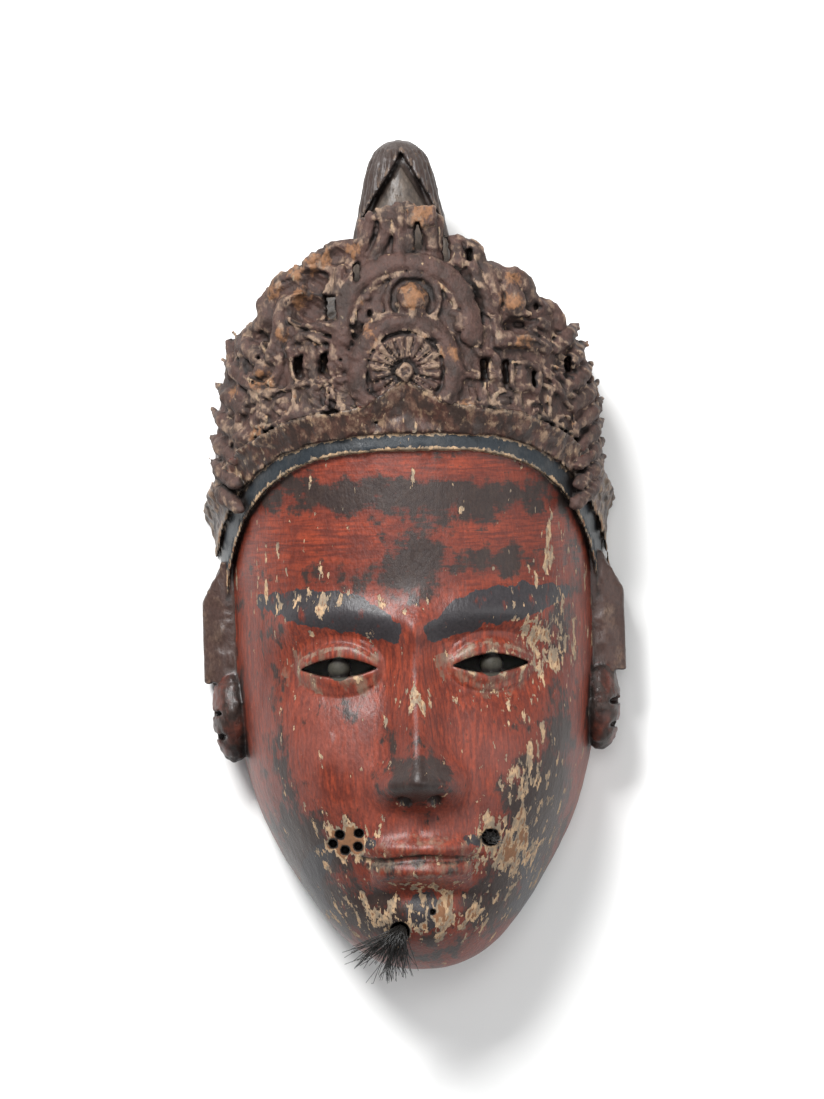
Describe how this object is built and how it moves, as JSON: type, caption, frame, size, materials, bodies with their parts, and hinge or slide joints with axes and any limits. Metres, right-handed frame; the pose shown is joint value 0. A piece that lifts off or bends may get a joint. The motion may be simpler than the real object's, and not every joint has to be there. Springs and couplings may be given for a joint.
{
  "type": "nuo mask",
  "caption": "Carved and painted wooden ritual mask with a calm red face, a relief crown, a ribbed topknot, side flaps and ears, hollow behind.",
  "frame": {"origin": "middle of the mask's footprint, on the plane that its back rim rests on", "axes": "+X from left to right as seen from the front, +Y from the chin to the topknot, +Z out of the face"},
  "size_m": [0.18, 0.354, 0.1119],
  "materials": {
    "painted_wood": "worn red lacquer on the face and worn dark paint on the crown, with chipped white ground and bare wood",
    "horsehair": "loose black strands"
  },
  "bodies": {
    "root": {"mask_body": "painted_wood", "chin_hair_tuft": "horsehair", "moustache_hair_stub": "horsehair"}
  },
  "joints": []
}
